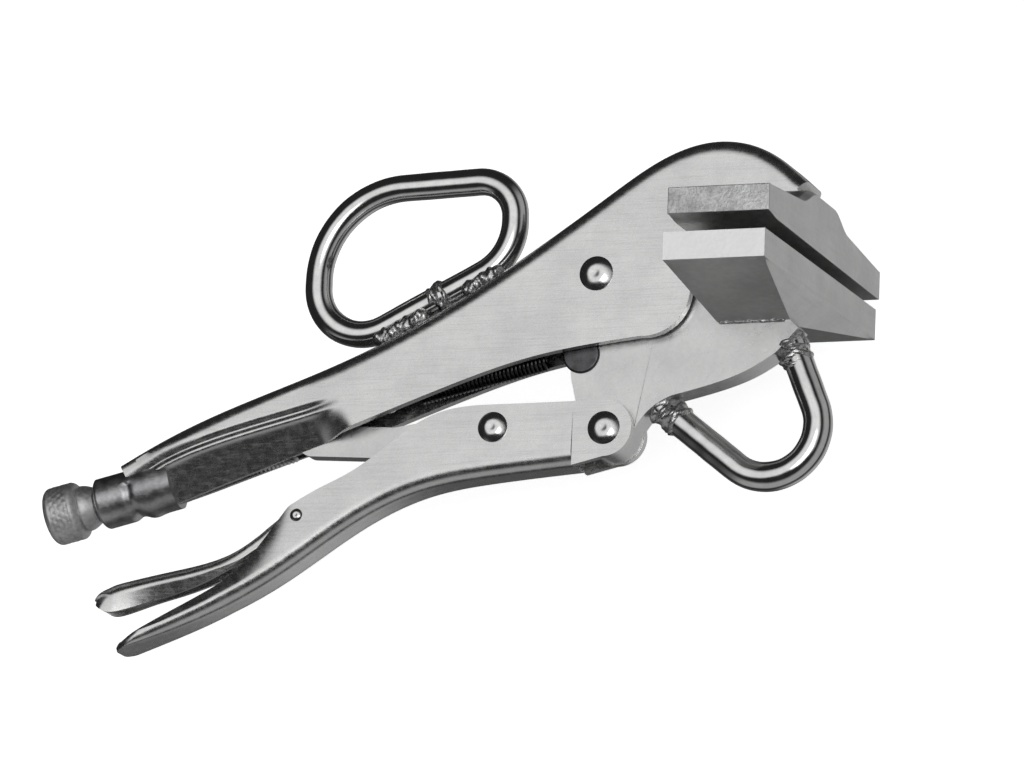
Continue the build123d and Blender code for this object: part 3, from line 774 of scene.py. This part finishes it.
class PLIERS_OT_lower_handle(PliersOperator, bpy.types.Operator):
    """Make the lower handle and the two ears that hold its rivet"""

    bl_idname = "pliers.lower_handle"
    bl_label = "Lower handle"

    def build(self, scene):
        looks = scene.pliers_looks
        edge_curve = [natural_curve(LOWER_EDGE_REAR)[:-1], natural_curve(LOWER_EDGE_FRONT)]
        share = np.linspace(0, 1, 260) ** 1.15
        back, edge = paired(natural_curve(LOWER_BACK), np.concatenate(edge_curve), share)

        def press(depth, station):
            """How far the wall leans in near the free end, whose corners are quarter circles."""
            lean = smooth(-92.0, -116.0, station) * 0.36 * np.maximum(depth - 3.0, 0)
            return lean + 4.6 * corner_round(-138.0, 8.4, station)

        bend = LOWER_BEND + 1.2 * smooth(-100.0, -135.0, back[:, 0])
        walls = channel(back, edge, LOWER_WIDTH, LOWER_SHEET, bend, press)
        make_piece("lower_handle_pressing", walls, "lower_handle_body", "pressed_plate",
                   ["lower_handle"], looks.sheet_edge)

        over = circle_part(GRIP_PIN, GRIP_EAR, 90, 0, 24)
        under = circle_part(GRIP_PIN, GRIP_EAR, -90, 0, 24)
        ear_top = np.concatenate([straight(edge[-1], over[0], 8)[:-1], over])
        ear_foot = np.concatenate([straight(back[-1], under[0], 8)[:-1], under])
        proud = 0.12
        outer, inner = LOWER_WIDTH / 2 + proud, LOWER_WIDTH / 2 - LOWER_SHEET
        sides = ((outer, inner), (-inner, -outer))
        ears = together(*(plate(ear_top, ear_foot, half, foot=foot) for half, foot in sides))
        make_piece("rivet_ears", ears, "lower_handle_body", "pressed_plate", round_edges=0.5)


class PLIERS_OT_release_lever(PliersOperator, bpy.types.Operator):
    """Make the release lever that lies inside the lower handle"""

    bl_idname = "pliers.release_lever"
    bl_label = "Release lever"

    def build(self, scene):
        share = np.linspace(0, 1, 160) ** 1.2
        back, edge = paired(natural_curve(LEVER_BACK), natural_curve(LEVER_EDGE), share)

        def press(depth, station):
            """How far the wall leans under, less at the free end, whose corners are quarter circles."""
            slope = 0.42 * smooth(-98.0, -108.0, station) - 0.3 * smooth(-132.0, -152.0, station)
            return 1.6 * corner_round(-149.0, 5.4, station) + slope * np.maximum(depth - 3.2, 0)

        bend = LEVER_BEND + 2.4 * smooth(-100.0, -118.0, back[:, 0])
        shape = channel(back, edge, LEVER_WIDTH, LEVER_SHEET, bend, press, rows=14)
        make_piece("release_lever_pressing", shape, "lever_body", "pressed_plate",
                   ["release_lever"], 0.3)


class PLIERS_OT_clamping_bars(PliersOperator, bpy.types.Operator):
    """Make the two wide clamping bars"""

    bl_idname = "pliers.clamping_bars"
    bl_label = "Clamping bars"

    def haunch_share(self, height, wall):
        """How far the haunch has risen: 0 at the bar's ends, 1 at the wall that it meets."""
        end = BAR_HALF - HAUNCH_END
        return np.clip((end - abs(height)) / (end - wall), 0, 1)

    def bar(self, name, profile, body, node, edge, end):
        """One bar: its profile carried from end to end, with a separate finish on the end faces."""
        wall = UPPER_WIDTH / 2
        outside = np.linspace(wall, BAR_HALF, 21)
        heights = np.concatenate([-outside[::-1], np.linspace(0.05 - wall, wall - 0.05, 9), outside])
        rings = np.stack([at_height(profile(height), height) for height in heights])
        piece = make_piece(name, skin(rings), body, "bar_side", [node], edge, 25.0)
        piece.data.materials.append(finish_named(end))
        for face in piece.data.polygons:
            upright_face = abs(face.normal.z) > 0.99
            at_end = abs(face.center.z - PIVOT[2]) > (BAR_HALF - 1) * MM
            face.material_index = int(upright_face and at_end)

    def build(self, scene):
        def upper(height):
            """A rectangle that sags a little, more at its far end, with a haunch that rises to the handle."""
            wall = UPPER_WIDTH / 2
            share = self.haunch_share(height, wall)
            far = 0.5 - 0.5 * height / BAR_HALF
            low = UPPER_BAR_BOTTOM - FACE_SAG - FACE_SAG_FAR * far
            low = low - NEAR_BEVEL * smooth(BAR_HALF, BAR_HALF - NEAR_BEVEL_RUN, height)
            flat = UPPER_BAR_TOP - (TOP_SAG + TOP_SAG_FAR * far)
            top = flat + UPPER_HAUNCH_RISE * share + HEAD_SWELL * smooth(HEAD_SWELL_START, 1.0, share)
            return np.array([
                (BAR_REAR, low), (BAR_FRONT, low), (BAR_FRONT, top - HAUNCH_FRONT_FALL * share),
                (BAR_FRONT - HAUNCH_FRONT_RUN, top), (UPPER_HAUNCH_REAR, top),
                (UPPER_HAUNCH_REAR - 0.5, flat), (BAR_REAR, flat),
            ])

        def lower(height):
            """A rectangle with a haunch below it, which deepens in a straight line towards the jaw."""
            share = self.haunch_share(height, JAW_HALF)
            bottom = LOWER_BAR_BOTTOM - 0.02 - HAUNCH_DROP * share
            front = LOWER_BAR_FRONT - 0.5 + (HAUNCH_FRONT - LOWER_BAR_FRONT + 0.5) * share
            rear = LOWER_BAR_REAR + (HAUNCH_REAR - LOWER_BAR_REAR) * share
            high = LOWER_BAR_TOP - 0.5 - 0.5 * height / BAR_HALF
            return np.array([
                (LOWER_BAR_REAR, high), (LOWER_BAR_REAR, LOWER_BAR_BOTTOM), (rear, bottom),
                (front, bottom), (LOWER_BAR_FRONT, LOWER_BAR_BOTTOM), (LOWER_BAR_FRONT, high),
            ])

        edge = scene.pliers_looks.bar_edge
        self.bar("upper_clamping_bar", upper, "upper_body", "upper_jaw_bar", edge, "bar_end")
        self.bar("lower_clamping_bar", lower, "lower_jaw_body", "lower_jaw_bar", edge, "bar_end_ground")


class PLIERS_OT_lower_jaw(PliersOperator, bpy.types.Operator):
    """Make the flat lower jaw, its hub and the lobe that holds the spring"""

    bl_idname = "pliers.lower_jaw"
    bl_label = "Lower jaw"

    def build(self, scene):
        counts = JAW_COUNTS
        ear = circle_part(GRIP_PIN, GRIP_EAR - 0.2, 170, 354, counts[2])
        haunch_rear, haunch_front = (HAUNCH_REAR, HAUNCH_BOTTOM), (HAUNCH_FRONT, HAUNCH_BOTTOM)
        upper = [
            circle_part((0, 0), HUB_RADIUS, 180, 90, counts[0]),
            straight((0, HUB_RADIUS), JAW_SHOULDER, counts[1]),
            straight(JAW_SHOULDER, JAW_STEP, counts[2]),
            straight(JAW_STEP, (LOWER_BAR_REAR, LOWER_BAR_BOTTOM), counts[3]),
            straight(haunch_rear, haunch_front, counts[4]),
            straight(haunch_front, JAW_NOSE, counts[5]),
        ]
        lower = [
            straight(*JAW_REAR, counts[0]),
            straight(JAW_REAR[1], ear[0], counts[1]),
            ear,
            even_steps(arc_through(*JAW_GULLET, 40)[::-1], counts[3]),
            even_steps(natural_curve(JAW_MOUTH)[::-1], counts[4]),
            straight(JAW_MOUTH[0], JAW_NOSE, counts[5]),
        ]
        body = plate(np.concatenate(upper), np.concatenate(lower), JAW_HALF, rows=20)
        hub = upright((0.0, 0.0), [-HUB_HALF, HUB_HALF], HUB_RADIUS)
        lobe = upright(SPRING_LOBE, [-LOBE_HALF, LOBE_HALF], SPRING_LOBE_RADIUS)
        # The lobe's near-black colour is painted shade: it stands for the shadow that the upper handle casts
        # on it
        make_piece("spring_lobe", lobe, "lower_jaw_body", "spring_steel_and_painted_shade", round_edges=0.7)
        make_piece("lower_jaw_plate", body, "lower_jaw_body", "jaw_plate", ["lower_jaw"], 0.7)
        make_piece("lower_jaw_hub", hub, "lower_jaw_body", "jaw_plate", round_edges=0.4)


class PLIERS_OT_toggle_link(PliersOperator, bpy.types.Operator):
    """Make the toggle link between the lower handle and the adjusting screw"""

    bl_idname = "pliers.toggle_link"
    bl_label = "Toggle link"

    def build(self, scene):
        arm, boss, half = 4.6, 6.4, 3.0
        upper = np.concatenate([
            circle_part(LINK_END, arm, 180, 90, 14),
            straight(LINK_KNEE + (0.2, arm), LINK_PIN + (-1.2, boss - 0.1), 24),
            circle_part(LINK_PIN, boss, 95, 0, 18),
        ])
        lower = np.concatenate([
            circle_part(LINK_END, arm, 180, 270, 14),
            straight(LINK_KNEE + (0.0, -arm), LINK_PIN + (0.0, -boss), 24),
            circle_part(LINK_PIN, boss, 270, 360, 18),
        ])
        make_piece("toggle_link_bar", plate(upper, lower, half), "toggle_body", "jaw_plate",
                   ["toggle_link"], 0.4)


class PLIERS_OT_rods(PliersOperator, bpy.types.Operator):
    """Bend the pull ring and the pull bail"""

    bl_idname = "pliers.rods"
    bl_label = "Ring and bail"

    def build(self, scene):
        ring = rod(RING_CORNERS, RING_BENDS, RING_RADIUS, True)
        bail = rod(BAIL_CORNERS, BAIL_BENDS, BAIL_RADIUS, False)
        make_piece("pull_ring_rod", ring, "upper_body", "rod_plate", ["pull_ring"])
        make_piece("pull_bail_rod", bail, "lower_jaw_body", "rod_plate", ["jaw_bail"])


class PLIERS_OT_welds(PliersOperator, bpy.types.Operator):
    """Lay the weld beads"""

    bl_idname = "pliers.welds"
    bl_label = "Welds"

    def build(self, scene):
        wall, sides = UPPER_WIDTH / 2, (-1, 1)
        top, bottom = UPPER_BAR_TOP + UPPER_HAUNCH_RISE, HAUNCH_BOTTOM
        upper_run = (UPPER_HAUNCH_REAR + 2, top), (BAR_FRONT - 5, top)
        lower_run = (HAUNCH_REAR + 1, bottom), (HAUNCH_FRONT - 2, bottom)
        first, second = np.array(RING_CORNERS[:2])
        heading = unit(second - first)
        middle = first + (second - first) * RING_JOINT_SHARE
        beads = (
            ("upper_bar_welds", "upper_jaw_welds", "upper_body",
             [weld_bead(*upper_run, 1.3, s * wall, s) for s in sides]),
            ("lower_bar_welds", "lower_jaw_welds", "lower_jaw_body",
             [weld_bead(*lower_run, 0.7, s * JAW_HALF, 2 + s) for s in sides]),
            ("pull_bail_welds", "bail_welds", "lower_jaw_body",
             [weld_bead(start, stop, radius, 0, seed) for start, stop, radius, seed in BAIL_WELDS]),
            ("ring_welds", "pull_ring_welds", "upper_body",
             [weld_bead(*run, 2.6, 3.0 * s, run[0][0] + s) for run in RING_WELD_RUNS for s in sides]),
            ("ring_joint", "ring_butt_weld", "upper_body",
             [weld_bead(middle - heading * 0.4, middle + heading * 0.4, 4.9, 0, 1.7)]),
        )
        for name, node, body, shapes in beads:
            make_piece(name, together(*shapes), body, "weld_plate", [node])


class PLIERS_OT_rivets(PliersOperator, bpy.types.Operator):
    """Set the four rivets"""

    bl_idname = "pliers.rivets"
    bl_label = "Rivets"

    def build(self, scene):
        for node, place, pin, head, height, grip, dimple, body in RIVETS:
            shape = rivet_shape(place, pin, head, height, grip, dimple)
            make_piece(f"{node}_set", shape, body, "rivet_plate", [node])


class PLIERS_OT_adjusting_screw(PliersOperator, bpy.types.Operator):
    """Cut the adjusting screw and its knurled knob"""

    bl_idname = "pliers.adjusting_screw"
    bl_label = "Adjusting screw"

    def build(self, scene):
        origin = spot(LINK_END)
        along = np.arange(SCREW_TIP, KNOB_START, SCREW_PITCH / 6)
        turn = along[:, None] / SCREW_PITCH - once_round(40) / (2 * math.pi)
        depth = THREAD_DEPTH * (1 - np.abs(2 * (turn % 1) - 1))
        point = THREAD_POINT * np.clip(1 - (along[:, None] - SCREW_TIP), 0, 1)
        shaft = turned(along, SCREW_RADIUS - depth - point, origin, SCREW_BACK, UP, around=40)
        make_piece("adjusting_screw_thread", shaft, "screw_body", "screw_plate",
                   ["adjusting_screw"])

        along = np.concatenate([
            np.linspace(0, COLLAR_LENGTH, 24),
            np.linspace(COLLAR_LENGTH + 0.05, COLLAR_LENGTH + KNOB_LENGTH, 90),
        ])
        head, swelled = along - COLLAR_LENGTH, COLLAR_LENGTH - COLLAR_FALL_RUN
        collar = COLLAR_RADIUS - COLLAR_NARROW * (1 + smooth(swelled, COLLAR_LENGTH, along))
        collar = collar + COLLAR_SWELL * np.sin(np.clip(along / swelled, 0, 1) * math.pi / 2)
        ends = np.minimum(head, KNOB_LENGTH - head)
        off = np.clip(KNOB_ROUND - ends, 0, KNOB_ROUND)
        fall = KNOB_ROUND - np.sqrt(np.maximum(KNOB_ROUND**2 - off**2, 0))
        radius = np.where(head <= 0, collar, KNOB_RADIUS - fall)[:, None]
        angle, slant = KNURL_LINES * once_round(144), KNURL_TWIST * head[:, None]
        lines = np.minimum(np.abs(np.sin(angle + slant)), np.abs(np.sin(angle - slant)))
        band = smooth(1.6, 2.4, ends)[:, None] * (head > 0)[:, None]
        radius = radius - KNURL_DEPTH * band * (1 - lines)
        shape = turned(COLLAR_START + along, radius, origin, SCREW_BACK, UP, around=144)
        make_piece("knurled_knob", shape, "knob_body", "knob_plate", ["screw_knob"])


class PLIERS_OT_spring(PliersOperator, bpy.types.Operator):
    """Wind the tension spring inside the upper handle"""

    bl_idname = "pliers.spring"
    bl_label = "Spring"

    def build(self, scene):
        span = SPRING_ANCHOR - SPRING_HOLE
        length = np.linalg.norm(span)
        axis = np.r_[span / length, 0.0]
        side = np.cross(axis, UP)
        leg, wire, coil, gap = 10.0, 0.55, 2.75, 0.12
        hook_run, front_rise, rear_rise = 5.0 * MM, 5.4 * MM, 1.85
        turns = int((length - 2 * leg) / (2 * wire + gap))
        share = np.linspace(0, 1, turns * 14)
        angle = (share * turns * 2 * math.pi)[:, None]
        origin = spot(SPRING_HOLE)
        outward = np.cos(angle) * side + np.sin(angle) * UP
        centre = origin + (leg + share[:, None] * (length - 2 * leg)) * MM * axis
        helix = centre + outward * coil * MM
        front_end, rear_end = origin + UP * front_rise, spot(SPRING_ANCHOR, rear_rise)
        front = np.stack([front_end, front_end + axis * hook_run, helix[0]])
        rear = np.stack([helix[-1], rear_end - axis * hook_run, rear_end])
        path = np.concatenate([even_steps(front, 16)[:-1], helix, even_steps(rear, 16)[1:]])
        heading = unit(np.gradient(path, axis=0))
        across = unit(np.cross(heading, axis + 0.01 * UP))
        shape = tube(path, wire, across, np.cross(heading, across), around=8)
        # The spring's near-black is its own dark steel, in the finish that also paints shade on the spring
        # lobe
        make_piece("tension_spring", shape, "upper_body", "spring_steel_and_painted_shade", ["spring"])


class PLIERS_OT_stage(PliersOperator, bpy.types.Operator):
    """Set the floor, the light and the camera"""

    bl_idname = "pliers.stage"
    bl_label = "Stage"

    def build(self, scene):
        stage = scene.pliers_stage
        self.floor(scene, stage)
        self.light(scene, stage)
        self.camera(scene, stage)

    def floor(self, scene, stage):
        """A pale sheet that is flat for four metres and then sweeps up all round."""
        swept = np.radians(np.linspace(10, 90, 9))
        reach = np.r_[0.001, np.linspace(0.5, FLOOR_FLAT, 8), FLOOR_FLAT + FLOOR_SWEEP * np.sin(swept)]
        rise = np.r_[np.zeros(9), FLOOR_SWEEP - FLOOR_SWEEP * np.cos(swept)]
        angle = once_round(FLOOR_SIDES)
        out = reach[:, None]
        places = np.broadcast_arrays(out * np.cos(angle), out * np.sin(angle), rise[:, None])
        faces = quads(len(reach), FLOOR_SIDES, wrap_columns=True) + [list(range(FLOOR_SIDES))]
        mesh = bpy.data.meshes.new("floor")
        mesh.from_pydata(np.stack(places, axis=-1).reshape(-1, 3).tolist(), [], faces)
        mesh.polygons.foreach_set("use_smooth", np.ones(len(mesh.polygons), bool))
        sheet = bpy.data.objects.new("floor", mesh)
        scene.collection.objects.link(sheet)
        sheet.visible_glossy = False
        sheet.visible_diffuse = False
        material = bpy.data.materials.new("floor_paper")
        material.use_nodes = True
        shader = material.node_tree.nodes["Principled BSDF"]
        paper = {
            "Base Color": (0.9, 0.9, 0.9, 1), "Roughness": 1.0, "Specular IOR Level": 0.0,
            "Emission Color": (1, 1, 1, 1), "Emission Strength": stage.floor_glow,
        }
        for socket, value in paper.items():
            shader.inputs[socket].default_value = value
        mesh.materials.append(material)

    def light(self, scene, stage):
        """Light by direction, in soft steps between two values of a direction's part along an axis.

        It is soft overhead, with a small bright patch, and dim from below. Level with the tool it
        comes from all sides but one, which stays dark.
        """
        world = bpy.data.worlds.new("studio")
        world.use_nodes = True
        scene.world = world
        tree = world.node_tree
        coordinates = tree.nodes.new("ShaderNodeTexCoord")
        direction = Wire(tree, coordinates.outputs["Generated"])
        parts = tree.nodes.new("ShaderNodeSeparateXYZ")
        tree.links.new(direction.socket, parts.inputs[0])
        x, y, z = (Wire(tree, parts.outputs[i]) for i in range(3))
        open_side = 1 - (y * -1.0).step(0.15, 0.42)
        overhead = z.step(0.7, 0.92) * open_side * stage.sky
        lamp = (z * 0.97 + x * 0.2 + y * -0.12).step(0.955, 0.995) * LAMP_STRENGTH
        below = (z * -1.0).step(0.45, 0.9) * (x.step(-0.22, 0.12) * 0.38 + 0.07)
        level = (1 - z.step(0.3, 0.62)) * (1 - (z * -1.0).step(0.2, 0.45))
        around = level * (1 - (y * 0.7 + x * -0.7).step(-0.15, 0.4)) * stage.fill
        strength = overhead + lamp + below + around + STRAY_LIGHT
        tree.links.new(strength.socket, tree.nodes["Background"].inputs["Strength"])
        tree.nodes["Background"].inputs["Color"].default_value = (1, 1, 1, 1)

    def camera(self, scene, stage):
        """The view leans from straight above towards the jaw's mouth, and looks at the tool's middle."""
        lean = Vector((math.cos(stage.heading), math.sin(stage.heading), 0))
        axis = Vector((-lean.y, lean.x, 0))
        turn = Matrix.Rotation(stage.tilt, 4, axis)
        target = Vector(PIVOT) + Vector(VIEW_TARGET) * MM
        eye = target + turn @ Vector((0, 0, stage.distance))
        camera = bpy.data.objects.new("camera", bpy.data.cameras.new("camera"))
        camera.data.lens = stage.lens
        camera.matrix_world = Matrix.Translation(eye) @ turn
        scene.collection.objects.link(camera)
        scene.camera = camera
        scene.view_settings.view_transform = "Standard"


OPERATORS = PliersOperator.__subclasses__()


class PLIERS_PT_panel(bpy.types.Panel):
    """The tool's pieces and settings"""

    bl_idname = "PLIERS_PT_panel"
    bl_label = "Locking pliers"
    bl_space_type = "VIEW_3D"
    bl_region_type = "UI"
    bl_category = "Pliers"

    def draw(self, context):
        for group in (context.scene.pliers_looks, context.scene.pliers_stage):
            for name in group.bl_rna.properties.keys():
                if name not in {"rna_type", "name"}:
                    self.layout.prop(group, name)
        for operator in OPERATORS:
            self.layout.operator(operator.bl_idname)


def register():
    for group in (PliersLooks, PliersStage, *OPERATORS, PLIERS_PT_panel):
        bpy.utils.register_class(group)
    bpy.types.Scene.pliers_looks = bpy.props.PointerProperty(type=PliersLooks)
    bpy.types.Scene.pliers_stage = bpy.props.PointerProperty(type=PliersStage)


def unregister():
    del bpy.types.Scene.pliers_stage
    del bpy.types.Scene.pliers_looks
    for group in reversed((PliersLooks, PliersStage, *OPERATORS, PLIERS_PT_panel)):
        bpy.utils.unregister_class(group)


def main():
    register()
    for operator in OPERATORS:
        area, name = operator.bl_idname.split(".")
        getattr(getattr(bpy.ops, area), name)()


if __name__ == "__main__":
    main()
